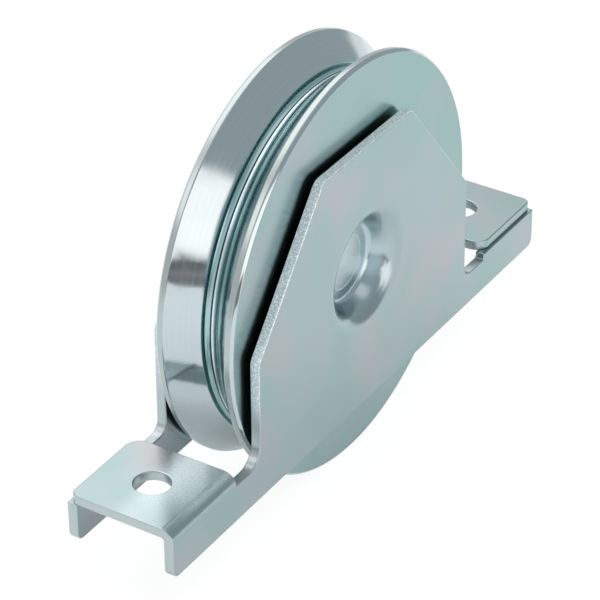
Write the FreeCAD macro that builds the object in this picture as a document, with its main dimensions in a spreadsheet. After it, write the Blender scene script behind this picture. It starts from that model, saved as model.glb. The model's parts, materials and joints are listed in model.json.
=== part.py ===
import FreeCAD, Part
import os
import Sketcher

# Sliding gate wheel: a grooved steel wheel on a sealed ball bearing, carried by two folded side plates.
# The frame's origin is the middle of the two bolt holes, on the top face of the mounting tabs. X runs
# along the bracket, Z is up, and the near side plate lies on the -Y side. Lengths are in millimetres.

doc = FreeCAD.newDocument("gate_wheel")
sheet = doc.addObject("Spreadsheet::Sheet", "sizes")

SKETCH_START = 10  # how far out a sketch's corners begin, before they are pinned to their sizes

DRIVING_SIZES = {
    "wheelDiameter": 120,
    "wheelWidth": 24,
    "rimFlat": 2.4,
    "rimChamfer": 0.8,
    "grooveAngle": 90,
    "reliefWidth": 4.5,
    "reliefDepth": 1.2,
    "shoulderStep": 2.25,
    "sheetThickness": 3,
    "wheelSideGap": 1.5,
    "tabClearance": 5.5,
    "tabLength": 29.5,
    "tabEdgeInset": 0.8,
    "tabOuterCornerRadius": 2.5,
    "tabInnerCornerRadius": 4.5,
    "flangeDepth": 15,
    "flangeCornerRadius": 2.5,
    "bendInnerRadius": 0.8,
    "notchWidth": 11.5,
    "tabNotchRadius": 6,
    "plainNotchStep": 1.8,
    "plainNotchRadius": 3.5,
    "boltHoleDiameter": 10,
    "boltHoleInset": 15,
    "axleHeight": 27.5,
    "cheekRise": 38.5,
    "cheekTopWidth": 45,
    "cheekCornerRadius": 4,
    "dishFloorMargin": 3.75,
    "dishFlare": 3.35,
    "dishLipRadius": 3,
    "dishFloorRadius": 2,
    "spigotShoulder": 2.25,
    "rivetFlare": 1.75,
    "bearingOuterDiameter": 40,
    "bearingBore": 17,
    "bearingWidth": 12,
    "bearingChamfer": 0.6,
    "ballShare": 0.587,
    "ballCount": 8,
    "landShare": 0.62,
    "racewayClearance": 0.08,
    "shieldSeat": 1.1,
    "shieldThickness": 0.5,
    "shieldInset": 0.4,
    "shieldGap": 0.4,
    "cageThickness": 0.5,
    "cageShare": 0.48,
    "cageRivetDiameter": 0.9,
    "cageRivetHeadDiameter": 1.44,
    "cageRivetHead": 0.5,
    "clipThickness": 1.75,
    "clipBand": 3,
    "clipGrooveDepth": 1.25,
    "clipSideClearance": 0.1,
    "clipOpening": 40,
    "clipLugOffset": 4,
    "clipLugDiameter": 4,
    "clipLugHole": 1.8,
    "fitClearance": 0.02,
}

# The shares are of the bearing's section or of the ball. Each size stands after those it uses.
WORKED_OUT_SIZES = {
    "bracketLength": "= wheelDiameter + 2 * (tabClearance + tabLength)",
    "bracketWidth": "= wheelWidth + 2 * (sheetThickness + wheelSideGap)",
    "halfWidth": "= bracketWidth / 2",
    "bendOuterRadius": "= bendInnerRadius + sheetThickness",
    "tabNotchDepth": "= sheetThickness + bendInnerRadius",
    "plainNotchDepth": "= sheetThickness + plainNotchStep",
    "boltHolePitch": "= bracketLength - 2 * boltHoleInset",
    "cheekHeight": "= axleHeight + cheekRise",
    "cheekWidth": "= bracketLength - 2 * (tabLength + notchWidth)",
    "spigotDiameter": "= bearingBore - 2 * spigotShoulder",
    "rivetHeadDiameter": "= spigotDiameter + 2 * rivetFlare",
    "dishFloorDiameter": "= rivetHeadDiameter + 2 * dishFloorMargin",
    "dishDiameter": "= dishFloorDiameter + 2 * dishFlare",
    "dishDepth": "= wheelSideGap + (wheelWidth - bearingWidth) / 2",
    "dishFloorFace": "= halfWidth - dishDepth",
    "dishFloorBack": "= dishFloorFace - sheetThickness",
    "rivetRoot": "= dishFloorFace - rivetFlare",
    "shoulderDiameter": "= bearingOuterDiameter - 2 * shoulderStep",
    "grooveDepth": "= (wheelWidth / 2 - rimFlat - reliefWidth / 2) / tan(grooveAngle / 2)",
    "pitchRadius": "= (bearingOuterDiameter + bearingBore) / 4",
    "ballDiameter": "= ballShare * (bearingOuterDiameter - bearingBore) / 2",
    "racewayRadius": "= ballDiameter / 2 + racewayClearance",
    "outerLandDiameter": "= 2 * pitchRadius + landShare * ballDiameter",
    "innerLandDiameter": "= 2 * pitchRadius - landShare * ballDiameter",
    "shieldDiameter": "= outerLandDiameter + 2 * shieldSeat",
    "shieldFace": "= bearingWidth / 2 - shieldInset",
    "cageWidth": "= cageShare * ballDiameter",
    "pastCage": "= 2 * bearingOuterDiameter",
    "clipGrooveDiameter": "= bearingOuterDiameter + 2 * clipGrooveDepth",
}


def fillSheet():
    row = 1
    for alias, value in list(DRIVING_SIZES.items()) + list(WORKED_OUT_SIZES.items()):
        sheet.set(f"A{row}", alias)
        sheet.set(f"B{row}", str(value))
        sheet.setAlias(f"B{row}", alias)
        row += 1
    doc.recompute()


def size(alias):
    return float(sheet.get(alias))


# Helpers for bodies, sketches and features

def newBody(label):
    body = doc.addObject("PartDesign::Body", label)
    body.Label = label
    return body


def originPlane(body, role):
    return next(item for item in body.Origin.OriginFeatures if item.Role == role)


def newSketch(body, name, role, offset=None):
    sketch = body.newObject("Sketcher::SketchObject", name)
    sketch.AttachmentSupport = [(originPlane(body, role), "")]
    sketch.MapMode = "FlatFace"
    if offset:
        sketch.setExpression("AttachmentOffset.Base.z", offset)
    return sketch


def pin(sketch, geometry, position, across, up):
    """Ties a point of the sketch to two expressions, measured from the sketch's origin."""
    for kind, axis, expression in (("DistanceX", -2, across), ("DistanceY", -1, up)):
        if expression == "0":
            sketch.addConstraint(Sketcher.Constraint("PointOnObject", geometry, position, axis))
            continue
        number = sketch.addConstraint(Sketcher.Constraint(kind, -1, 1, geometry, position, 1.0))
        name = f"{kind}{geometry}"
        sketch.renameConstraint(number, name)
        sketch.setExpression(f"Constraints.{name}", expression)


def polygon(body, name, role, corners, offset=None):
    """A closed outline through corners, each given as two expressions."""
    sketch = newSketch(body, name, role, offset)
    count = len(corners)
    turn = FreeCAD.Rotation(FreeCAD.Vector(0, 0, 1), 360 / count)
    place = FreeCAD.Vector(SKETCH_START, 0, 0)
    for number in range(count):
        following = turn.multVec(place)
        sketch.addGeometry(Part.LineSegment(place, following), False)
        place = following
    for number in range(count):
        sketch.addConstraint(
            Sketcher.Constraint("Coincident", number, 2, (number + 1) % count, 1)
        )
    for number, (across, up) in enumerate(corners):
        pin(sketch, number, 1, across, up)
    return sketch


def circle(sketch, across, up, diameter):
    upward = FreeCAD.Vector(0, 0, 1)
    centre = FreeCAD.Vector(SKETCH_START, SKETCH_START, 0)
    number = sketch.addGeometry(Part.Circle(centre, upward, SKETCH_START / 2), False)
    pin(sketch, number, 3, across, up)
    constraint = sketch.addConstraint(Sketcher.Constraint("Diameter", number, float(SKETCH_START)))
    sketch.renameConstraint(constraint, f"diameter{number}")
    sketch.setExpression(f"Constraints.diameter{number}", diameter)


def pad(body, name, sketch, length, reverse=False, middle=False):
    feature = body.newObject("PartDesign::Pad", name)
    feature.Profile = sketch
    feature.setExpression("Length", length)
    feature.Reversed = reverse
    feature.Midplane = middle
    body.Tip = feature
    doc.recompute()
    return feature


def pocket(body, name, sketch, length, reverse=False, middle=False):
    before = body.Shape.Volume
    feature = body.newObject("PartDesign::Pocket", name)
    feature.Profile = sketch
    feature.setExpression("Length", length)
    feature.Reversed = reverse
    feature.Midplane = middle
    body.Tip = feature
    doc.recompute()
    if not body.Shape.Volume < before:
        raise RuntimeError(f"{name} cuts nothing")
    return feature


def turned(body, name, sketch, angle="360 deg", kind="PartDesign::Revolution"):
    """Turns a profile drawn on the YZ plane about the Y axis."""
    feature = body.newObject(kind, name)
    feature.Profile = sketch
    feature.ReferenceAxis = (sketch, ["H_Axis"])
    feature.setExpression("Angle", angle)
    feature.Midplane = angle != "360 deg"
    body.Tip = feature
    doc.recompute()
    return feature


def repeatAroundY(body, name, feature, count):
    pattern = body.newObject("PartDesign::PolarPattern", name)
    pattern.Originals = [feature]
    pattern.Axis = (originPlane(body, "Y_Axis"), [""])
    pattern.Angle = 360
    pattern.setExpression("Occurrences", count)
    body.Tip = pattern
    doc.recompute()
    return pattern


def edgeNames(shape, wanted):
    names = []
    for number, edge in enumerate(shape.Edges, 1):
        if wanted(edge):
            names.append(f"Edge{number}")
    return names


def roundEdges(body, name, wanted, radius):
    base = body.Tip
    names = edgeNames(base.Shape, wanted)
    if not names:
        raise RuntimeError(f"{name} finds no edge")
    feature = body.newObject("PartDesign::Fillet", name)
    feature.Base = (base, names)
    feature.setExpression("Radius", radius)
    body.Tip = feature
    doc.recompute()
    return feature


def near(value, wanted):
    return abs(value - wanted) < 0.01


def onAxle(body):
    body.setExpression("Placement.Base.z", "sizes.axleHeight")


# Side plates: each is one folded stamping with a tab at one end. The far one is the near one turned
# half round, so each tab rests on the other plate's top edge.

def addFold(body):
    """The folded end: an upright leg and the tab, as an angle whose bend is rounded both sides."""
    freeEdge = "sizes.halfWidth - sizes.tabEdgeInset"
    innerFace = "-sizes.halfWidth + sizes.sheetThickness"
    angle = polygon(body, body.Label + "_fold_profile", "YZ_Plane", [
        ("-sizes.halfWidth", "-sizes.flangeDepth"),
        (innerFace, "-sizes.flangeDepth"),
        (innerFace, "-sizes.sheetThickness"),
        (freeEdge, "-sizes.sheetThickness"),
        (freeEdge, "0"),
        ("-sizes.halfWidth", "0"),
    ], "-sizes.bracketLength / 2")
    pad(body, body.Label + "_fold", angle, "sizes.tabLength")


def addSheet(body):
    """The flat sheet from the fold onwards: flange, notches and cheek in one outline."""
    foldEnd = "-sizes.bracketLength / 2 + sizes.tabLength"
    otherTab = "sizes.bracketLength / 2 - sizes.tabLength"
    outline = polygon(body, body.Label + "_outline", "XZ_Plane", [
        (foldEnd, "-sizes.flangeDepth"),
        ("sizes.bracketLength / 2", "-sizes.flangeDepth"),
        ("sizes.bracketLength / 2", "-sizes.sheetThickness"),
        (otherTab, "-sizes.sheetThickness"),
        (otherTab, "-sizes.plainNotchDepth"),
        ("sizes.cheekWidth / 2", "-sizes.plainNotchDepth"),
        ("sizes.cheekWidth / 2", "sizes.axleHeight"),
        ("sizes.cheekTopWidth / 2", "sizes.cheekHeight"),
        ("-sizes.cheekTopWidth / 2", "sizes.cheekHeight"),
        ("-sizes.cheekWidth / 2", "sizes.axleHeight"),
        ("-sizes.cheekWidth / 2", "-sizes.tabNotchDepth"),
        (foldEnd, "-sizes.tabNotchDepth"),
    ], "sizes.halfWidth")
    pad(body, body.Label + "_sheet", outline, "sizes.sheetThickness", reverse=True)


def acrossSheet(edge):
    """True for a straight edge that runs through the upright sheet's thickness."""
    if edge.Curve.TypeId != "Part::GeomLine":
        return False
    outerFace = -size("halfWidth")
    innerFace = outerFace + size("sheetThickness")
    return near(edge.BoundBox.YMin, outerFace) and near(edge.BoundBox.YMax, innerFace)


def atHeight(edge, height):
    return near(edge.BoundBox.ZMin, height) and near(edge.BoundBox.ZMax, height)


def cutBoltHole(body):
    hole = newSketch(body, body.Label + "_hole_circle", "XY_Plane")
    circle(hole, "-sizes.boltHolePitch / 2", "0", "sizes.boltHoleDiameter")
    pocket(body, body.Label + "_bolt_hole", hole, "sizes.sheetThickness")


def roundTab(body):
    freeEdge = size("halfWidth") - size("tabEdgeInset")
    outerEnd = -size("bracketLength") / 2
    innerEnd = outerEnd + size("tabLength")

    def corner(end):
        return lambda edge: near(edge.BoundBox.XMax, end) and near(edge.BoundBox.YMin, freeEdge) \
            and near(edge.BoundBox.XMin, end)

    roundEdges(body, body.Label + "_tab_outer_corner", corner(outerEnd), "sizes.tabOuterCornerRadius")
    roundEdges(body, body.Label + "_tab_inner_corner", corner(innerEnd), "sizes.tabInnerCornerRadius")


def roundBend(body):
    outerFace = -size("halfWidth")
    innerFace = outerFace + size("sheetThickness")

    def outside(edge):
        return atHeight(edge, 0) and near(edge.BoundBox.YMax, outerFace)

    def inside(edge):
        return atHeight(edge, -size("sheetThickness")) and near(edge.BoundBox.YMax, innerFace) \
            and near(edge.BoundBox.YMin, innerFace) and edge.BoundBox.Center.x < 0

    roundEdges(body, body.Label + "_bend_inside", inside, "sizes.bendInnerRadius")
    roundEdges(body, body.Label + "_bend_outside", outside, "sizes.bendOuterRadius")


def roundOutline(body):
    def cheekCorner(edge):
        high = atHeight(edge, size("cheekHeight")) or atHeight(edge, size("axleHeight"))
        return acrossSheet(edge) and high

    def tabNotchCorner(edge):
        foot = atHeight(edge, -size("tabNotchDepth"))
        return acrossSheet(edge) and foot and near(edge.BoundBox.XMin, -size("cheekWidth") / 2)

    def plainNotchCorner(edge):
        foot = atHeight(edge, -size("plainNotchDepth"))
        return acrossSheet(edge) and foot and near(edge.BoundBox.XMin, size("cheekWidth") / 2)

    def lowerCorner(edge):
        end = near(abs(edge.BoundBox.Center.x), size("bracketLength") / 2)
        return acrossSheet(edge) and atHeight(edge, -size("flangeDepth")) and end

    roundEdges(body, body.Label + "_cheek_corners", cheekCorner, "sizes.cheekCornerRadius")
    roundEdges(body, body.Label + "_tab_notch", tabNotchCorner, "sizes.tabNotchRadius")
    roundEdges(body, body.Label + "_plain_notch", plainNotchCorner, "sizes.plainNotchRadius")
    roundEdges(body, body.Label + "_lower_corners", lowerCorner, "sizes.flangeCornerRadius")


def addDish(body):
    """Presses the cheek in until its back meets the bearing: a cone and a floor of the sheet's thickness."""
    mouth = newSketch(body, body.Label + "_dish_circle", "XZ_Plane", "sizes.halfWidth")
    circle(mouth, "0", "sizes.axleHeight", "sizes.dishDiameter")
    pocket(body, body.Label + "_dish_opening", mouth, "sizes.sheetThickness")
    slope = "(sizes.dishDiameter - sizes.dishFloorDiameter) / 2 / sizes.dishDepth"
    wall = f"sizes.sheetThickness * (sqrt(1 + ({slope})^2) - ({slope}))"
    mouthRadius = "sizes.dishDiameter / 2"
    floorRadius = "sizes.dishFloorDiameter / 2"
    holeRadius = "sizes.spigotDiameter / 2 + sizes.fitClearance"
    profile = polygon(body, body.Label + "_dish_profile", "YZ_Plane", [
        ("-sizes.halfWidth", mouthRadius),
        ("-sizes.dishFloorFace", floorRadius),
        ("-sizes.dishFloorFace", f"{holeRadius} + sizes.rivetFlare"),
        ("-sizes.rivetRoot", holeRadius),
        ("-sizes.dishFloorBack", holeRadius),
        ("-sizes.dishFloorBack", f"{floorRadius} + {wall}"),
        ("-sizes.halfWidth + sizes.sheetThickness", f"{mouthRadius} + {wall}"),
        ("-sizes.halfWidth", f"{mouthRadius} + {wall}"),
    ])
    profile.setExpression("AttachmentOffset.Base.y", "sizes.axleHeight")
    turned(body, body.Label + "_dish", profile)


def roundDish(body):
    outerFace = -size("halfWidth")
    innerFace = outerFace + size("sheetThickness")

    def ring(depth, outwards):
        def wanted(edge):
            box = edge.BoundBox
            if not (near(box.YMin, depth) and near(box.YMax, depth)):
                return False
            if edge.Curve.TypeId != "Part::GeomCircle":
                return False
            return outwards(edge.Curve.Radius)
        return wanted

    mouth = size("dishDiameter") / 2 - 0.1
    floor = size("dishFloorDiameter") / 2 - 0.1
    lip = "sizes.dishLipRadius + sizes.sheetThickness"
    bowl = "sizes.dishFloorRadius + sizes.sheetThickness"
    name = body.Label
    roundEdges(body, name + "_lip_inside", ring(innerFace, lambda r: r > mouth), "sizes.dishLipRadius")
    roundEdges(body, name + "_lip_outside", ring(outerFace, lambda r: r > mouth), lip)
    roundEdges(body, name + "_floor_face", ring(-size("dishFloorFace"), lambda r: r > floor),
               "sizes.dishFloorRadius")
    roundEdges(body, name + "_floor_back", ring(-size("dishFloorBack"), lambda r: r > floor), bowl)


def sidePlate(label, turn):
    body = newBody(label)
    addFold(body)
    roundBend(body)
    roundTab(body)
    cutBoltHole(body)
    addSheet(body)
    roundOutline(body)
    addDish(body)
    roundDish(body)
    body.Placement = FreeCAD.Placement(FreeCAD.Vector(), FreeCAD.Rotation(FreeCAD.Vector(0, 0, 1), turn))


# Axle: a stepped pin whose ends are riveted flush into the countersunk holes of the two dishes

def axle():
    body = newBody("axle")
    pinRadius = "sizes.bearingBore / 2 - sizes.fitClearance"
    profile = polygon(body, "axle_profile", "YZ_Plane", [
        ("-sizes.dishFloorFace", "0"),
        ("-sizes.dishFloorFace", "sizes.rivetHeadDiameter / 2"),
        ("-sizes.rivetRoot", "sizes.spigotDiameter / 2"),
        ("-sizes.dishFloorBack", "sizes.spigotDiameter / 2"),
        ("-sizes.dishFloorBack", pinRadius),
        ("sizes.dishFloorBack", pinRadius),
        ("sizes.dishFloorBack", "sizes.spigotDiameter / 2"),
        ("sizes.rivetRoot", "sizes.spigotDiameter / 2"),
        ("sizes.dishFloorFace", "sizes.rivetHeadDiameter / 2"),
        ("sizes.dishFloorFace", "0"),
    ])
    turned(body, "axle_turning", profile)
    onAxle(body)


# Wheel: a solid rim and web with a V groove, its relief channel, and a bore for the bearing

def wheel():
    body = newBody("wheel")
    face = "sizes.wheelWidth / 2"
    rim = "sizes.wheelDiameter / 2"
    bore = "sizes.bearingOuterDiameter / 2 + sizes.fitClearance"
    seat = "sizes.bearingWidth / 2"
    clipWall = f"({seat} + sizes.clipThickness + sizes.clipSideClearance)"
    clipRadius = "sizes.clipGrooveDiameter / 2"
    reliefTop = f"{rim} - sizes.grooveDepth"
    reliefFloor = f"{reliefTop} - sizes.reliefDepth"
    profile = polygon(body, "wheel_profile", "YZ_Plane", [
        (f"-{face}", f"{bore} + sizes.rimChamfer"),
        (f"-{face} + sizes.rimChamfer", bore),
        (f"-{clipWall}", bore),
        (f"-{clipWall}", clipRadius),
        (f"-{seat}", clipRadius),
        (f"-{seat}", bore),
        (seat, bore),
        (seat, "sizes.shoulderDiameter / 2"),
        (f"{face} - sizes.rimChamfer", "sizes.shoulderDiameter / 2"),
        (face, "sizes.shoulderDiameter / 2 + sizes.rimChamfer"),
        (face, f"{rim} - sizes.rimChamfer"),
        (f"{face} - sizes.rimChamfer", rim),
        (f"{face} - sizes.rimFlat", rim),
        ("sizes.reliefWidth / 2", reliefTop),
        ("sizes.reliefWidth / 2", reliefFloor),
        ("-sizes.reliefWidth / 2", reliefFloor),
        ("-sizes.reliefWidth / 2", reliefTop),
        (f"-{face} + sizes.rimFlat", rim),
        (f"-{face} + sizes.rimChamfer", rim),
        (f"-{face}", f"{rim} - sizes.rimChamfer"),
    ])
    turned(body, "wheel_turning", profile)
    onAxle(body)


# Bearing: two rings, balls, a riveted two-part cage and two shields

def cutRaceway(body):
    sketch = newSketch(body, body.Label + "_raceway_circle", "YZ_Plane")
    circle(sketch, "0", "sizes.pitchRadius", "2 * sizes.racewayRadius")
    before = body.Shape.Volume
    turned(body, body.Label + "_raceway", sketch, kind="PartDesign::Groove")
    if not body.Shape.Volume < before:
        raise RuntimeError("the raceway cuts nothing")


def outerRing():
    body = newBody("bearing_outer_ring")
    end = "sizes.bearingWidth / 2"
    outside = "sizes.bearingOuterDiameter / 2"
    seat = "sizes.shieldDiameter / 2"
    step = "(sizes.shieldFace - sizes.shieldThickness)"
    land = "sizes.outerLandDiameter / 2"
    profile = polygon(body, "outer_ring_profile", "YZ_Plane", [
        (f"-{end}", seat),
        (f"-{end}", f"{outside} - sizes.bearingChamfer"),
        (f"-{end} + sizes.bearingChamfer", outside),
        (f"{end} - sizes.bearingChamfer", outside),
        (end, f"{outside} - sizes.bearingChamfer"),
        (end, seat),
        (step, seat),
        (step, land),
        (f"-{step}", land),
        (f"-{step}", seat),
    ])
    turned(body, "outer_ring_turning", profile)
    cutRaceway(body)
    onAxle(body)


def innerRing():
    body = newBody("bearing_inner_ring")
    end = "sizes.bearingWidth / 2"
    bore = "sizes.bearingBore / 2"
    land = "sizes.innerLandDiameter / 2"
    profile = polygon(body, "inner_ring_profile", "YZ_Plane", [
        (f"-{end}", f"{bore} + sizes.bearingChamfer"),
        (f"-{end}", land),
        (end, land),
        (end, f"{bore} + sizes.bearingChamfer"),
        (f"{end} - sizes.bearingChamfer", bore),
        (f"-{end} + sizes.bearingChamfer", bore),
    ])
    turned(body, "inner_ring_turning", profile)
    cutRaceway(body)
    onAxle(body)


def balls():
    for number in range(int(size("ballCount"))):
        ball = doc.addObject("Part::Sphere", f"bearing_ball_{number + 1}")
        ball.Label = f"bearing_ball_{number + 1}"
        angle = f"({number} * 360 deg / sizes.ballCount)"
        ball.setExpression("Radius", "sizes.ballDiameter / 2")
        ball.setExpression("Placement.Base.x", f"sizes.pitchRadius * cos{angle}")
        ball.setExpression("Placement.Base.z", f"sizes.axleHeight + sizes.pitchRadius * sin{angle}")
    doc.recompute()


def ballSphere(body, name, kind, radius):
    feature = body.newObject(kind, name)
    feature.AttachmentSupport = [(originPlane(body, "XY_Plane"), "")]
    feature.MapMode = "FlatFace"
    feature.setExpression("AttachmentOffset.Base.x", "sizes.pitchRadius")
    feature.setExpression("Radius", radius)
    body.Tip = feature
    doc.recompute()
    return feature


def ringSketch(body, name, inner, outer, offset=None):
    sketch = newSketch(body, name, "XZ_Plane", offset)
    circle(sketch, "0", "0", inner)
    circle(sketch, "0", "0", outer)
    return sketch


def cageHalf(label, turn):
    """Half of the cage: a flat ring that bulges out over each ball, cut to the cage's width."""
    body = newBody(label)
    inside = "2 * sizes.pitchRadius - sizes.cageWidth"
    outside = "2 * sizes.pitchRadius + sizes.cageWidth"
    pocketRadius = "sizes.racewayRadius + sizes.cageThickness"
    flat = ringSketch(body, label + "_flat", inside, outside)
    pad(body, label + "_ring", flat, "sizes.cageThickness")
    bulge = ballSphere(body, label + "_bulge", "PartDesign::AdditiveSphere", pocketRadius)
    repeatAroundY(body, label + "_bulges", bulge, "sizes.ballCount")
    hollow = ballSphere(body, label + "_hollow", "PartDesign::SubtractiveSphere", "sizes.racewayRadius")
    repeatAroundY(body, label + "_hollows", hollow, "sizes.ballCount")
    core = newSketch(body, label + "_core_circle", "XZ_Plane")
    circle(core, "0", "0", inside)
    pocket(body, label + "_core", core, "sizes.pastCage", middle=True)
    rind = ringSketch(body, label + "_rind_circles", outside, "sizes.pastCage")
    pocket(body, label + "_rind", rind, "sizes.pastCage", middle=True)
    back = newSketch(body, label + "_back_circle", "XZ_Plane")
    circle(back, "0", "0", "sizes.pastCage")
    pocket(body, label + "_back", back, "sizes.pastCage")
    hole = newSketch(body, label + "_rivet_circle", "XZ_Plane")
    circle(hole, "sizes.pitchRadius * cos(180 deg / sizes.ballCount)",
           "sizes.pitchRadius * sin(180 deg / sizes.ballCount)",
           "sizes.cageRivetDiameter")
    holes = pocket(body, label + "_rivet_hole", hole, "sizes.pastCage", reverse=True)
    repeatAroundY(body, label + "_rivet_holes", holes, "sizes.ballCount")
    body.Placement = FreeCAD.Placement(FreeCAD.Vector(), FreeCAD.Rotation(FreeCAD.Vector(1, 0, 0), turn))
    onAxle(body)


def cageRivets():
    """One small rivet between each two balls, all in one node."""
    body = newBody("cage_rivets")
    body.AllowCompound = True
    across = "sizes.pitchRadius * cos(180 deg / sizes.ballCount)"
    up = "sizes.pitchRadius * sin(180 deg / sizes.ballCount)"
    shankCircle = newSketch(body, "rivet_shank_circle", "XZ_Plane")
    circle(shankCircle, across, up, "sizes.cageRivetDiameter")
    shank = pad(body, "rivet_shank", shankCircle, "2 * sizes.cageThickness", middle=True)
    originals = [shank]
    for side, offset in (("near", "sizes.cageThickness"), ("far", "-sizes.cageThickness")):
        headCircle = newSketch(body, f"rivet_{side}_head_circle", "XZ_Plane", offset)
        circle(headCircle, across, up, "sizes.cageRivetHeadDiameter")
        originals.append(pad(body, f"rivet_{side}_head", headCircle, "sizes.cageRivetHead",
                             reverse=side == "far"))
    pattern = repeatAroundY(body, "rivets_round", shank, "sizes.ballCount")
    pattern.Originals = originals
    doc.recompute()
    onAxle(body)


def shield(label, side):
    body = newBody(label)
    inside = "sizes.innerLandDiameter + 2 * sizes.shieldGap"
    outside = "sizes.shieldDiameter - 2 * sizes.fitClearance"
    offset = "sizes.shieldFace" if side < 0 else "-sizes.shieldFace"
    disc = ringSketch(body, label + "_circles", inside, outside, offset)
    pad(body, label + "_disc", disc, "sizes.shieldThickness", reverse=side < 0)
    onAxle(body)


# Retaining ring: an open spring ring with two holed lugs, snapped into the wheel's groove

def retainingRing():
    body = newBody("retaining_ring")
    outer = "sizes.clipGrooveDiameter / 2 - sizes.fitClearance"
    inner = f"({outer} - sizes.clipBand)"
    freeFace = "-sizes.bearingWidth / 2 - sizes.clipThickness"
    bearingFace = "-sizes.bearingWidth / 2"
    section = polygon(body, "clip_section", "YZ_Plane", [
        (freeFace, inner),
        (bearingFace, inner),
        (bearingFace, outer),
        (freeFace, outer),
    ])
    turned(body, "clip_band", section, "360 deg - sizes.clipOpening * 1 deg")
    plane = "sizes.bearingWidth / 2"
    lugAngle = "((sizes.clipOpening / 2 + sizes.clipLugOffset) * 1 deg)"
    for name, sign in (("left", "-"), ("right", "")):
        across = f"{sign}{inner} * sin{lugAngle}"
        up = f"-{inner} * cos{lugAngle}"
        lug = newSketch(body, f"clip_{name}_lug_circle", "XZ_Plane", plane)
        circle(lug, across, up, "sizes.clipLugDiameter")
        pad(body, f"clip_{name}_lug", lug, "sizes.clipThickness")
        hole = newSketch(body, f"clip_{name}_hole_circle", "XZ_Plane", plane)
        circle(hole, across, up, "sizes.clipLugHole")
        pocket(body, f"clip_{name}_hole", hole, "sizes.clipThickness", reverse=True)
    onAxle(body)


def build():
    fillSheet()
    sidePlate("side_plate_near", 0)
    sidePlate("side_plate_far", 180)
    axle()
    wheel()
    outerRing()
    innerRing()
    balls()
    cageHalf("cage_half_near", 0)
    cageHalf("cage_half_far", 180)
    cageRivets()
    shield("shield_near", -1)
    shield("shield_far", 1)
    retainingRing()
    doc.recompute()


def checkDocument():
    for item in doc.Objects:
        if "Invalid" in item.State or "Error" in item.State:
            raise RuntimeError(f"{item.Label} failed: {item.State}")


def exportParts():
    os.makedirs("parts", exist_ok=True)
    for item in doc.Objects:
        if item.TypeId not in ("PartDesign::Body", "Part::Sphere"):
            continue
        shape = item.Shape
        if shape.isNull() or not shape.isValid():
            raise RuntimeError(f"{item.Label} has no valid shape")
        shape.exportStep(f"parts/{item.Label}.step")
        print(item.Label, len(shape.Solids), "solid,", round(shape.Volume), "cubic mm")


build()
checkDocument()
exportParts()
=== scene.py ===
import json
import math

import bpy
from mathutils import Matrix, Vector


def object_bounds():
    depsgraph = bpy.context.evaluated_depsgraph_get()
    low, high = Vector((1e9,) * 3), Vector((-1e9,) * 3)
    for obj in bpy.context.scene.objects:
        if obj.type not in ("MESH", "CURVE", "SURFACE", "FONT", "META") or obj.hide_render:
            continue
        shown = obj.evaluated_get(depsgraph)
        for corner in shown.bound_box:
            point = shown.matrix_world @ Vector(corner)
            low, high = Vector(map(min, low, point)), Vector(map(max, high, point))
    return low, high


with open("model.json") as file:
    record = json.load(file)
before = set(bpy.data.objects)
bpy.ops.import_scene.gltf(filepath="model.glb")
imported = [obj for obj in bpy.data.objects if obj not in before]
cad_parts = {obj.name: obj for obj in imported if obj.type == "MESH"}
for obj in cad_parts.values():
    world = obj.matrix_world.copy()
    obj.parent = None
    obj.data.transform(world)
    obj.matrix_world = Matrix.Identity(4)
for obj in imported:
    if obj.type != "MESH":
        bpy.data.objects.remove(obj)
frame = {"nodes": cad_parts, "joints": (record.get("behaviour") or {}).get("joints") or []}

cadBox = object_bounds()
nodes = frame["nodes"]
axleHeight = frame["joints"][0]["pos_m"][2]  # the wheel turns about this height
mm = 0.001
print("frame loaded:", len(nodes), "CAD nodes")


# small helpers for node trees

def addNode(tree, kind, **settings):
    node = tree.nodes.new(kind)
    node.location = (len(tree.nodes) * 40, -(len(tree.nodes) % 9) * 130)
    for key, value in settings.items():
        setattr(node, key, value)
    return node


def feed(tree, value, socket):  # a link from a socket, or a plain value
    if isinstance(value, bpy.types.NodeSocket):
        tree.links.new(value, socket)
    else:
        socket.default_value = value


def calc(tree, operation, first, second=None, third=None):
    node = addNode(tree, "ShaderNodeMath", operation=operation)
    for number, value in enumerate((first, second, third)):
        if value is not None:
            feed(tree, value, node.inputs[number])
    return node.outputs[0]


def chain(tree, operation, first, *others):  # the same sum or product over several values
    for value in others:
        first = calc(tree, operation, first, value)
    return first


def product(tree, *values):
    return chain(tree, "MULTIPLY", *values)


def split(tree, vector):
    node = addNode(tree, "ShaderNodeSeparateXYZ")
    feed(tree, vector, node.inputs[0])
    return list(node.outputs)


def remap(tree, value, low, high, start=0.0, end=1.0, kind="SMOOTHSTEP"):
    node = addNode(tree, "ShaderNodeMapRange", interpolation_type=kind)
    feed(tree, value, node.inputs["Value"])
    for name, number in (("From Min", low), ("From Max", high), ("To Min", start), ("To Max", end)):
        node.inputs[name].default_value = number
    return node.outputs[0]


def spread(tree, value, start, end):  # most of a noise lies between 0.3 and 0.7
    return remap(tree, value, 0.3, 0.7, start, end, "LINEAR")


def window(tree, value, low, high, soft):  # 1 between low and high, 0 outside
    rise = remap(tree, value, low - soft / 2, low + soft / 2)
    fall = remap(tree, value, high - soft / 2, high + soft / 2, 1.0, 0.0)
    return product(tree, rise, fall)


def blendColour(tree, factor, first, second, kind="MIX"):
    node = addNode(tree, "ShaderNodeMix", data_type="RGBA", blend_type=kind)
    feed(tree, factor, node.inputs["Factor"])
    feed(tree, first, node.inputs[6])
    feed(tree, second, node.inputs[7])
    return node.outputs[2]


def noise(tree, vector, scale, detail, rough=0.5):
    node = addNode(tree, "ShaderNodeTexNoise")
    feed(tree, vector, node.inputs["Vector"])
    node.inputs["Scale"].default_value = scale
    node.inputs["Detail"].default_value = detail
    node.inputs["Roughness"].default_value = rough
    return node.outputs[0]


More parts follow.
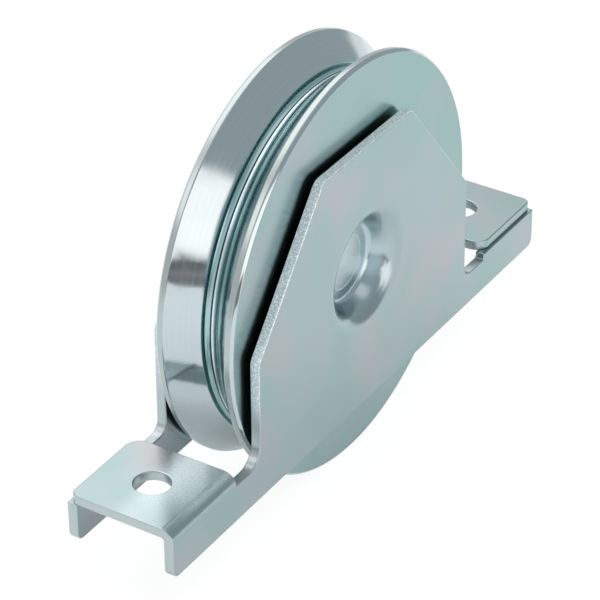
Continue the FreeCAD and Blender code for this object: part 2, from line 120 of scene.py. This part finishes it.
def lineNoise(tree, along, scale):  # noise that only changes along one length
    node = addNode(tree, "ShaderNodeTexNoise", noise_dimensions="1D")
    feed(tree, along, node.inputs["W"])
    node.inputs["Scale"].default_value = scale
    node.inputs["Detail"].default_value = 3
    return node.outputs[0]


def newGroup(name, *masks):  # a group that turns a place on the piece into masks
    tree = bpy.data.node_groups.new(name, "ShaderNodeTree")
    tree.interface.new_socket(name="Place", in_out="INPUT", socket_type="NodeSocketVector")
    for mask in masks:
        tree.interface.new_socket(name=mask, in_out="OUTPUT", socket_type="NodeSocketFloat")
    start = tree.nodes.new("NodeGroupInput")
    end = tree.nodes.new("NodeGroupOutput")
    return tree, start.outputs["Place"], end.inputs


def useGroup(tree, group, place):
    node = addNode(tree, "ShaderNodeGroup", node_tree=group)
    feed(tree, place, node.inputs["Place"])
    return node.outputs


def colour(r, g, b):
    return (r, g, b, 1.0)


# effects that several finishes share

zincDrift = {
    "rose": (36, 1.5, 0.4),  # scale, detail and roughness of each noise
    "roseFrom": (0.40, 0.66),  # the noise where a tint starts and where it is full
    "green": (44, 1.5, 0.4),
    "greenFrom": (0.42, 0.68),
    "greenShift": (0.37, 0.11, 0.29),  # keeps the two tints' drifts apart
    "tone": (85, 5, 0.62),
    "grain": (1900, 3, 0.6),
}


def makeZincCloud():  # slow drifts of tint in bright passivated zinc, and its fine grain
    look = zincDrift
    tree, place, masks = newGroup("zincCloud", "Rose", "Green", "Tone", "Grain")
    shifted = addNode(tree, "ShaderNodeVectorMath", operation="ADD")
    feed(tree, place, shifted.inputs[0])
    feed(tree, look["greenShift"], shifted.inputs[1])
    feed(tree, remap(tree, noise(tree, place, *look["rose"]), *look["roseFrom"]), masks["Rose"])
    feed(tree, remap(tree, noise(tree, shifted.outputs[0], *look["green"]), *look["greenFrom"]), masks["Green"])
    feed(tree, noise(tree, place, *look["tone"]), masks["Tone"])
    feed(tree, noise(tree, place, *look["grain"]), masks["Grain"])
    return tree


toolMarks = {
    "slant": 0.71,  # how fast the marks change along the axle, next to outward
    "lines": 3600,
    "streaks": 620,
}


def makeTurning():  # place on a turned piece: distance from the axle, and fine tool lines round it
    tree, place, masks = newGroup("turning", "Radius", "Across", "Lines", "Streaks")
    x, y, z = split(tree, place)
    rise = calc(tree, "SUBTRACT", z, axleHeight)
    radius = calc(tree, "SQRT", calc(tree, "ADD", product(tree, x, x), product(tree, rise, rise)))
    across = calc(tree, "ABSOLUTE", y)
    along = calc(tree, "MULTIPLY_ADD", across, toolMarks["slant"], radius)
    feed(tree, radius, masks["Radius"])
    feed(tree, across, masks["Across"])
    feed(tree, lineNoise(tree, along, toolMarks["lines"]), masks["Lines"])
    feed(tree, lineNoise(tree, along, toolMarks["streaks"]), masks["Streaks"])
    return tree


tornGrain = {
    "cells": 1900,
    "fleckFrom": (0.62, 0.15),  # distance from a cell's middle where a fleck starts and where it is full
    "fine": (2300, 3, 0.65),
    "cellDepth": -0.6,
}


def makeSpeckle():  # the torn grain of a sheared edge
    look = tornGrain
    tree, place, masks = newGroup("speckle", "Fleck", "Height")
    cells = addNode(tree, "ShaderNodeTexVoronoi", feature="F1")
    feed(tree, place, cells.inputs["Vector"])
    feed(tree, look["cells"], cells.inputs["Scale"])
    outer, inner = look["fleckFrom"]
    away = cells.outputs["Distance"]
    feed(tree, remap(tree, away, inner, outer, 1.0, 0.0), masks["Fleck"])
    fine = noise(tree, place, *look["fine"])
    feed(tree, calc(tree, "MULTIPLY_ADD", away, look["cellDepth"], fine), masks["Height"])
    return tree


zincCloud = makeZincCloud()
turning = makeTurning()
speckle = makeSpeckle()


# helpers for the CAD nodes' finishes

def newMetal(name):
    material = bpy.data.materials.new(name)
    material.use_nodes = True
    tree = material.node_tree
    shader = tree.nodes["Principled BSDF"].inputs
    shader["Metallic"].default_value = 1.0
    return material, tree, shader, addNode(tree, "ShaderNodeTexCoord").outputs


def driftedZinc(tree, cloud, look):
    base = blendColour(tree, cloud["Rose"], look["base"], look["rose"])
    return blendColour(tree, cloud["Green"], base, look["green"])


def addBump(tree, shader, height, strength, depth, over=None):
    bump = addNode(tree, "ShaderNodeBump")
    feed(tree, height, bump.inputs["Height"])
    if over is not None:
        feed(tree, over, bump.inputs["Normal"])
    feed(tree, strength, bump.inputs["Strength"])
    feed(tree, depth, bump.inputs["Distance"])
    feed(tree, bump.outputs[0], shader["Normal"])
    return bump.outputs[0]


def dress(material, *names):
    for name in names:
        mesh = nodes[name].data
        mesh.materials.clear()
        mesh.materials.append(material)


softening = {
    "weld": 0.01 * mm,  # vertices nearer than this are joined
    "flatAngle": 0.4,  # faces that turn less than this many degrees are joined
    "sharpAngle": 30.0,  # edges that turn more than this are rounded
    "segments": 3,
    "faceWeight": 50,
}


def softenEdges(name, radius):
    node = nodes[name]
    weld = node.modifiers.new("weld", "WELD")
    weld.merge_threshold = softening["weld"]
    flat = node.modifiers.new("flat", "DECIMATE")
    flat.decimate_type = "DISSOLVE"
    flat.angle_limit = math.radians(softening["flatAngle"])
    bevel = node.modifiers.new("bevel", "BEVEL")
    bevel.width = radius
    bevel.segments = softening["segments"]
    bevel.limit_method = "ANGLE"
    bevel.angle_limit = math.radians(softening["sharpAngle"])
    bevel.use_clamp_overlap = False
    bevel.miter_outer = "MITER_ARC"
    even = node.modifiers.new("even", "WEIGHTED_NORMAL")
    even.weight = softening["faceWeight"]
    even.keep_sharp = False


# side plates

sidePlate = {
    "base": colour(0.365, 0.440, 0.458),
    "rose": colour(0.425, 0.428, 0.442),
    "green": colour(0.330, 0.440, 0.432),
    "roughness": (0.20, 0.24),  # drifts between these
    "edgeRadius": 0.38 * mm,

    "dish": colour(0.470, 0.552, 0.582),
    "dishMouth": (12.5 * mm, 16.5 * mm),  # the dish's tint is full inside the first radius, gone at the second
    "dishReach": (20 * mm, 21 * mm),  # nearer the axle than this nothing is sheared

    "sheared": colour(0.455, 0.505, 0.510),
    "shearedTurn": (0.70, 0.97),  # faces that look less to the side than the first are sheared edges
    "shearedRoughness": 0.32,
    "tabHeight": (-3.3 * mm, 0.3 * mm, 0.3 * mm),  # between these heights only upright faces are sheared
    "tabEndTurn": (0.35, 0.80),

    "tornHeight": (6 * mm, 20 * mm, 0.08, 1.0),  # sheared edges are torn this much at these heights
    "tornLight": colour(0.92, 0.95, 0.96),
    "tornDark": colour(0.54, 0.60, 0.62),
    "tornHaze": 0.55,  # how much of the shine is scattered

    # a painted highlight: a paler band that runs along the left tab's upward faces, beside its fold, with a
    # hazier finish
    "paintedTabHighlight": colour(0.64, 0.71, 0.72),
    "tabHighlightHaze": 0.55,
    "tabHighlightStart": (-4 * mm, 3 * mm),  # rises between these, toward the near side
    "tabHighlightFade": (3 * mm, 14 * mm, 1.0, 0.6),  # and weakens as far as the fold
    "tabHighlightInner": (-66 * mm, -60 * mm, 1.0, 0.0),  # gone toward the wheel
    "tabHighlightOuter": (-93 * mm, -79 * mm, 0.3, 1.0),  # weak at the tab's end
    "tabHighlightTurn": (0.6, 0.95),  # only on faces that look up
    "tabHighlightHeight": (-2 * mm, 0.4 * mm, 0.2 * mm),
    # noise that makes the painted highlight band uneven
    "tabHighlightNoise": (1500, 3, 0.6),
    "tabHighlightNoiseTone": (0.35, 0.60, 0.80, 1.0),

    "drift": 4.0,  # height of the slow drift next to the fine grain
    "torn": 34.0,  # and of the torn grain
    "bump": (0.12, 0.004 * mm),
}


def sheetZinc():
    look = sidePlate
    material, tree, shader, coords = newMetal("zincSheet")
    place = coords["Object"]
    cloud = useGroup(tree, zincCloud, place)
    fleck = useGroup(tree, speckle, place)
    ring = useGroup(tree, turning, place)
    x, y, z = split(tree, place)
    sideways, upward = split(tree, coords["Normal"])[1:]

    # where the sheet was sheared, and where that edge is torn
    offFace = remap(tree, calc(tree, "ABSOLUTE", sideways), *look["shearedTurn"], 1.0, 0.0)
    offTab = calc(tree, "SUBTRACT", 1.0, window(tree, z, *look["tabHeight"]))
    tabEnd = remap(tree, calc(tree, "ABSOLUTE", upward), *look["tabEndTurn"], 1.0, 0.0)
    offDish = remap(tree, ring["Radius"], *look["dishReach"])
    edge = product(tree, offFace, calc(tree, "MAXIMUM", offTab, tabEnd), offDish)
    torn = product(tree, edge, remap(tree, z, *look["tornHeight"]))

    # painted highlight: a paler, hazier band on the left tab's upward faces beside the fold
    nearer = product(tree, y, -1.0)
    paintedTabHighlight = product(tree, remap(tree, nearer, *look["tabHighlightStart"]), remap(tree, nearer, *look["tabHighlightFade"]),
                     remap(tree, x, *look["tabHighlightInner"]), remap(tree, x, *look["tabHighlightOuter"]),
                     remap(tree, upward, *look["tabHighlightTurn"]), window(tree, z, *look["tabHighlightHeight"]),
                     remap(tree, noise(tree, place, *look["tabHighlightNoise"]), *look["tabHighlightNoiseTone"]))

    base = driftedZinc(tree, cloud, look)
    base = blendColour(tree, remap(tree, ring["Radius"], *look["dishMouth"], 1.0, 0.0), base, look["dish"])
    base = blendColour(tree, edge, base, look["sheared"])
    grained = blendColour(tree, fleck["Fleck"], look["tornDark"], look["tornLight"])
    base = blendColour(tree, torn, base, grained)
    # over it all, the painted highlight band on the left tab
    feed(tree, blendColour(tree, paintedTabHighlight, base, look["paintedTabHighlight"]), shader["Base Color"])

    tabHighlightHaze = product(tree, paintedTabHighlight, look["tabHighlightHaze"])
    haze = calc(tree, "MAXIMUM", tabHighlightHaze, product(tree, torn, look["tornHaze"]))
    feed(tree, calc(tree, "SUBTRACT", 1.0, haze), shader["Metallic"])

    rough = addNode(tree, "ShaderNodeMix", data_type="FLOAT")
    feed(tree, edge, rough.inputs[0])
    feed(tree, spread(tree, cloud["Tone"], *look["roughness"]), rough.inputs[2])
    feed(tree, look["shearedRoughness"], rough.inputs[3])
    feed(tree, rough.outputs[0], shader["Roughness"])

    height = calc(tree, "MULTIPLY_ADD", cloud["Tone"], look["drift"], cloud["Grain"])
    height = calc(tree, "ADD", height, product(tree, fleck["Height"], look["torn"], torn))
    addBump(tree, shader, height, *look["bump"])
    return material


dress(sheetZinc(), "side_plate_near", "side_plate_far")
for plateName in ("side_plate_near", "side_plate_far"):
    softenEdges(plateName, sidePlate["edgeRadius"])
print("side plates dressed")


# wheel

wheel = {
    "base": colour(0.320, 0.432, 0.436),
    "rose": colour(0.370, 0.428, 0.433),
    "green": colour(0.295, 0.430, 0.412),
    "roughness": 0.23,
    "edgeRadius": 0.25 * mm,

    "flank": colour(0.550, 0.605, 0.620),
    "flankTurn": (0.45, 0.88, 0.1),  # how far a flank looks to the side
    "flankReach": (50.5 * mm, 60.5 * mm, 0.4 * mm),  # its radii
    "flankRoughness": 0.10,
    # a painted reflection: the near flank, the same turned surface as the far one, gets its own teal tint
    "nearFlankReflection": colour(0.470, 0.590, 0.610),
    "nearFlankPlace": (-9.8 * mm, -2.3 * mm, 0.2 * mm),  # along the axle

    "lip": colour(0.465, 0.508, 0.504),
    "lipTurn": (0.3, 0.5, 1.0, 0.0),  # the rims' outer edges look less to the side than this
    "lipFrom": (59.3 * mm, 59.7 * mm),
    "lipRoughness": 0.22,

    "channel": colour(0.380, 0.540, 0.550),
    "channelTop": (52.6 * mm, 52.9 * mm, 1.0, 0.0),  # the relief channel lies inside this radius
    "channelSide": (2.3 * mm, 2.5 * mm, 1.0, 0.0),
    "channelHalf": 2.25 * mm,
    "channelBump": (1.0, 1.0 * mm),  # rounds out the channel's floor
    "paintedShadeLine": (0.0 * mm, 0.55 * mm, colour(0.035, 0.055, 0.065)),  # a painted shade line round that floor, where a rounded channel would turn away from the light
    # a painted highlight line beside it, where a rounded channel would catch the light
    "paintedHighlightLine": (-0.55 * mm, 0.0 * mm, colour(0.68, 0.77, 0.80)),
    "paintedLineSoft": 0.2 * mm,

    "streakTone": (0.985, 1.012),
    "streakRoughness": (-0.01, 0.012),
    "grain": 0.5,  # height of the zinc's grain next to the tool lines
    "bump": (0.05, 0.004 * mm),
}


def turnedZinc():
    look = wheel
    material, tree, shader, coords = newMetal("zincTurned")
    place = coords["Object"]
    cloud = useGroup(tree, zincCloud, place)
    ring = useGroup(tree, turning, place)
    along = split(tree, place)[1]
    sideways = calc(tree, "ABSOLUTE", split(tree, coords["Normal"])[1])
    groove = product(tree, window(tree, sideways, *look["flankTurn"]),
                     window(tree, ring["Radius"], *look["flankReach"]))
    # painted reflection tint on the near flank
    nearFlankReflectionMask = product(tree, groove, window(tree, along, *look["nearFlankPlace"]))
    lip = product(tree, remap(tree, sideways, *look["lipTurn"]), remap(tree, ring["Radius"], *look["lipFrom"]))
    channel = product(tree, remap(tree, ring["Radius"], *look["channelTop"]),
                      remap(tree, ring["Across"], *look["channelSide"]))

    base = driftedZinc(tree, cloud, look)
    for mask, tone in ((groove, "flank"), (nearFlankReflectionMask, "nearFlankReflection"), (lip, "lip"), (channel, "channel")):
        base = blendColour(tree, mask, base, look[tone])
    # painted shade and a painted highlight across the channel's floor, for the shading of its rounding
    for line in ("paintedShadeLine", "paintedHighlightLine"):
        low, high, tone = look[line]
        onPaintedLine = product(tree, channel, window(tree, along, low, high, look["paintedLineSoft"]))
        base = blendColour(tree, onPaintedLine, base, tone)
    streak = spread(tree, ring["Streaks"], *look["streakTone"])
    streaky = addNode(tree, "ShaderNodeCombineColor")
    for socket in streaky.inputs:
        feed(tree, streak, socket)
    feed(tree, blendColour(tree, 1.0, base, streaky.outputs[0], "MULTIPLY"), shader["Base Color"])

    flankRough = product(tree, groove, look["flankRoughness"] - look["roughness"])
    lipRough = product(tree, lip, look["lipRoughness"] - look["roughness"])
    uneven = spread(tree, ring["Streaks"], *look["streakRoughness"])
    feed(tree, chain(tree, "ADD", flankRough, look["roughness"], lipRough, uneven), shader["Roughness"])

    inward = calc(tree, "MINIMUM", ring["Across"], look["channelHalf"])
    inward = calc(tree, "DIVIDE", inward, look["channelHalf"])
    hollow = addBump(tree, shader, product(tree, inward, inward), *look["channelBump"])
    height = calc(tree, "MULTIPLY_ADD", cloud["Grain"], look["grain"], ring["Lines"])
    addBump(tree, shader, height, *look["bump"], over=hollow)
    return material


dress(turnedZinc(), "wheel")
softenEdges("wheel", wheel["edgeRadius"])
print("wheel dressed")


# axle

axlePin = {
    "base": colour(0.490, 0.565, 0.580),
    "worn": colour(0.520, 0.580, 0.590),
    "wornFrom": (0.35, 0.65),
    "roughness": (0.25, 0.37),
    "drift": 8.0,
    "bump": (0.08, 0.005 * mm),
}


def pinZinc():
    look = axlePin
    material, tree, shader, coords = newMetal("zincPin")
    cloud = useGroup(tree, zincCloud, coords["Object"])
    ring = useGroup(tree, turning, coords["Object"])
    rolled = remap(tree, ring["Streaks"], *look["wornFrom"])
    feed(tree, blendColour(tree, rolled, look["base"], look["worn"]), shader["Base Color"])
    feed(tree, spread(tree, cloud["Tone"], *look["roughness"]), shader["Roughness"])
    height = calc(tree, "MULTIPLY_ADD", cloud["Tone"], look["drift"], ring["Lines"])
    addBump(tree, shader, height, *look["bump"])
    return material


dress(pinZinc(), "axle")
print("axle dressed")


# bearing, cage, shields and retaining ring

bearing = {
    # colour, roughness, height of the tool lines, height of the grain
    "ring": (colour(0.53, 0.54, 0.55), 0.16, 1.0, 0.2),
    "ball": (colour(0.58, 0.59, 0.60), 0.05, 0.0, 0.1),
    "cage": (colour(0.42, 0.425, 0.43), 0.34, 0.0, 1.0),
    "shield": (colour(0.50, 0.52, 0.53), 0.24, 1.0, 0.4),
    "spring": (colour(0.15, 0.15, 0.16), 0.38, 0.3, 1.0),
    "dull": (0.82, 0.82, 0.84),  # how much darker the dull patches are
    "dullFrom": (0.35, 0.70),
    "roughnessShare": (0.8, 1.25),
    "bump": (0.15, 0.004 * mm),
}


def bearingSteel(name, part):
    base, roughness, lines, grain = bearing[part]
    material, tree, shader, coords = newMetal(name)
    cloud = useGroup(tree, zincCloud, coords["Object"])
    ring = useGroup(tree, turning, coords["Object"])
    dull = colour(*[base[n] * bearing["dull"][n] for n in range(3)])
    patches = remap(tree, cloud["Tone"], *bearing["dullFrom"])
    feed(tree, blendColour(tree, patches, base, dull), shader["Base Color"])
    least, most = bearing["roughnessShare"]
    feed(tree, spread(tree, ring["Streaks"], roughness * least, roughness * most), shader["Roughness"])
    height = calc(tree, "ADD", product(tree, ring["Lines"], lines), product(tree, cloud["Grain"], grain))
    addBump(tree, shader, height, *bearing["bump"])
    return material


dress(bearingSteel("bearingSteel", "ring"), "bearing_outer_ring", "bearing_inner_ring")
dress(bearingSteel("ballSteel", "ball"), *[name for name in nodes if name.startswith("bearing_ball")])
dress(bearingSteel("cageSteel", "cage"), "cage_half_near", "cage_half_far", "cage_rivets")
dress(bearingSteel("shieldSteel", "shield"), "shield_near", "shield_far")
dress(bearingSteel("springSteel", "spring"), "retaining_ring")
print("bearing dressed")


# helpers for the floor and the studio round the part

white = colour(1.0, 1.0, 1.0)


def deselectAll():
    for item in bpy.context.selected_objects:
        item.select_set(False)


def nameNewest(name):
    piece = bpy.context.object
    piece.name = name
    bpy.ops.object.transform_apply(location=True, rotation=True, scale=True)
    return piece


def barePaint(name, piece):
    material = bpy.data.materials.new(name)
    material.use_nodes = True
    material.node_tree.nodes.clear()
    piece.data.materials.append(material)
    return material.node_tree


def mixSurface(tree, factor, first, second):
    mix = addNode(tree, "ShaderNodeMixShader")
    feed(tree, factor, mix.inputs[0])
    feed(tree, first.outputs[0], mix.inputs[1])
    feed(tree, second.outputs[0], mix.inputs[2])
    out = addNode(tree, "ShaderNodeOutputMaterial")
    feed(tree, mix.outputs[0], out.inputs["Surface"])


def sortRays(tree):  # rays from the camera, and rays that metal or glass sends on
    path = addNode(tree, "ShaderNodeLightPath").outputs
    mirrored = calc(tree, "MAXIMUM", path["Is Glossy Ray"], path["Is Transmission Ray"])
    return path["Is Camera Ray"], mirrored


# floor

floor = {
    "colour": colour(0.80, 0.81, 0.81),
    "paler": colour(0.82, 0.82, 0.82),
    "patches": (9, 3),
    "radius": 0.52,
    "drop": 0.02 * mm,  # below the part's lowest point
    "shadowShare": 0.13,  # how much of the floor's own shading the camera sees
    "mirroredShare": 0.85,  # and how much of it the metal mirrors
    "white": 1.04,
}


def pourFloor():
    deselectAll()
    bpy.ops.mesh.primitive_circle_add(vertices=128, radius=floor["radius"], fill_type="NGON",
                                      location=(0, 0, cadBox[0].z - floor["drop"]))
    disc = nameNewest("floor")
    tree = barePaint("paleFloor", disc)
    place = addNode(tree, "ShaderNodeTexCoord").outputs["Object"]
    shade = addNode(tree, "ShaderNodeBsdfDiffuse")
    patches = noise(tree, place, *floor["patches"])
    feed(tree, blendColour(tree, patches, floor["colour"], floor["paler"]), shade.inputs["Color"])
    glow = addNode(tree, "ShaderNodeEmission")
    feed(tree, floor["white"], glow.inputs["Strength"])
    fromCamera, mirrored = sortRays(tree)
    seen = product(tree, fromCamera, 1.0 - floor["shadowShare"])
    mixSurface(tree, calc(tree, "MULTIPLY_ADD", mirrored, 1.0 - floor["mirroredShare"], seen), shade, glow)


pourFloor()


# studio: a white room, with soft boxes and flags standing round the part for the metal to mirror

studio = {
    "room": colour(0.92, 1.0, 1.02),  # what lights the part and the floor; every other ray sees plain white
    "reach": 3.0,
}

# azimuth from and to, elevation from and to, softness of the edges (degrees), brightness, tint;
# a later one hides what it covers of those before it
softBoxes = {
    "sideFlag": (-62, 104, -4, 66, 8, 0.48, colour(0.86, 1.0, 1.05)),
    "wallFlag": (-110, -58, -4, 66, 8, 0.78, colour(0.88, 1.0, 1.06)),
    "backFlag": (98, 150, -6, 30, 8, 0.76, colour(0.96, 1.0, 1.02)),
    "leftFlag": (-165, -100, -14, 24, 8, 0.76, colour(0.98, 1.0, 0.99)),
    "frontBox": (-50, -4, 2.5, 29.5, 5, 1.58, colour(1.03, 1.0, 0.99)),
    "dishBox": (-28, 10, -16, 12, 10, 1.75, colour(1.03, 1.0, 0.99)),
    "tabBox": (108, 142, 33.5, 46, 4, 1.85, colour(0.98, 1.0, 1.0)),
    "topBox": (108, 206, 42, 76, 6, 1.80, colour(0.98, 1.0, 1.0)),
    "leftBox": (-140, -110, 27, 50, 6, 1.65, colour(1.0, 1.0, 1.0)),
    "lowFlag": (-66, -25.5, -12, 1.5, 3, 0.13, colour(0.95, 0.97, 1.0)),
}

lowFlagLines = {  # bands of elevation in which the low flag is thinner
    "scale": 0.9,
    "thin": (0.45, 0.70, 1.0, 0.55),
}


def whitenRoom():
    world = bpy.data.worlds.new("studio")
    bpy.context.scene.world = world
    world.use_nodes = True
    tree = world.node_tree
    tree.nodes.clear()
    fromCamera, mirrored = sortRays(tree)
    back = addNode(tree, "ShaderNodeBackground")
    plain = calc(tree, "MAXIMUM", fromCamera, mirrored)
    feed(tree, blendColour(tree, plain, studio["room"], white), back.inputs["Color"])
    out = addNode(tree, "ShaderNodeOutputWorld")
    feed(tree, back.outputs[0], out.inputs["Surface"])


def standBoxes():  # the boxes and flags are painted on one clear shell, which only the metal sees
    deselectAll()
    bpy.ops.mesh.primitive_uv_sphere_add(segments=96, ring_count=48, radius=studio["reach"],
                                         location=(0, 0, axleHeight))
    shell = nameNewest("softBoxes")
    shell.visible_camera = False
    shell.visible_diffuse = False
    shell.visible_shadow = False
    tree = barePaint("softBoxPaint", shell)
    x, y, z = split(tree, addNode(tree, "ShaderNodeTexCoord").outputs["Object"])
    degree = math.degrees(1)
    level = calc(tree, "DIVIDE", calc(tree, "SUBTRACT", z, axleHeight), studio["reach"])
    rise = product(tree, calc(tree, "ARCSINE", level), degree)
    turn = product(tree, calc(tree, "ARCTAN2", x, product(tree, y, -1.0)), degree)  # -180 to 180, 0 toward -Y
    fullTurn = calc(tree, "ADD", turn, product(tree, calc(tree, "LESS_THAN", turn, 0.0), 360.0))  # 0 to 360
    paint = white
    cover = 0.0
    for name, (west, east, low, high, soft, strength, tint) in softBoxes.items():
        across = window(tree, fullTurn if east > 180 else turn, west, east, soft)
        inside = product(tree, across, window(tree, rise, low, high, soft))
        if name == "lowFlag":
            lines = lineNoise(tree, rise, lowFlagLines["scale"])
            inside = product(tree, inside, remap(tree, lines, *lowFlagLines["thin"]))
        paint = blendColour(tree, inside, paint, colour(*[tint[n] * strength for n in range(3)]))
        cover = calc(tree, "MAXIMUM", inside, cover)
    clear = addNode(tree, "ShaderNodeBsdfTransparent")
    glow = addNode(tree, "ShaderNodeEmission")
    feed(tree, paint, glow.inputs["Color"])
    mixSurface(tree, cover, clear, glow)


whitenRoom()
standBoxes()


# lamps: place, width in metres, power in watts

lamp = {
    "overhead": ((-0.35, -0.55, 1.15), 0.9, 6.5),
    "fill": ((0.75, 0.55, 0.8), 0.8, 3.0),
}


def hangLamp(name):
    spot, width, power = lamp[name]
    bpy.ops.object.light_add(type="AREA", location=spot)
    light = bpy.context.object
    light.name = name
    light.data.shape = "DISK"
    light.data.size = width
    light.data.energy = power
    light.rotation_euler = (-Vector(spot)).to_track_quat("-Z", "Y").to_euler()
    light.visible_glossy = False  # the metal mirrors the soft boxes instead


for lampName in lamp:
    hangLamp(lampName)
print("floor, studio and lamps ready")


# camera at the photograph's viewing angle

camera = {
    "azimuth": -57.5960,
    "elevation": 33.1590,
    "roll": -0.3745,
    "aim": (-0.0083994, -0.0000403, 0.0166130),
    "distance": 0.83125,
    "lens": 183.53,
    "sensor": 36,
    "clip": (0.05, 20),
}


def setCamera():
    turn, rise = math.radians(camera["azimuth"]), math.radians(camera["elevation"])
    back = Vector((math.sin(turn) * math.cos(rise), -math.cos(turn) * math.cos(rise), math.sin(rise)))
    right = Vector((math.cos(turn), math.sin(turn), 0))
    up = back.cross(right)
    roll = math.radians(camera["roll"])
    across = right * math.cos(roll) + up * math.sin(roll)
    upward = up * math.cos(roll) - right * math.sin(roll)
    spot = Vector(camera["aim"]) + back * camera["distance"]
    bpy.ops.object.camera_add(location=spot)
    shot = bpy.context.object
    shot.name = "photoCamera"
    turned = Matrix((across, upward, back)).transposed().to_4x4()
    shot.matrix_world = Matrix.Translation(spot) @ turned
    shot.data.lens = camera["lens"]
    shot.data.sensor_width = camera["sensor"]
    shot.data.clip_start, shot.data.clip_end = camera["clip"]
    bpy.context.scene.camera = shot


setCamera()
bpy.context.scene.view_settings.view_transform = "Standard"
print("camera set")
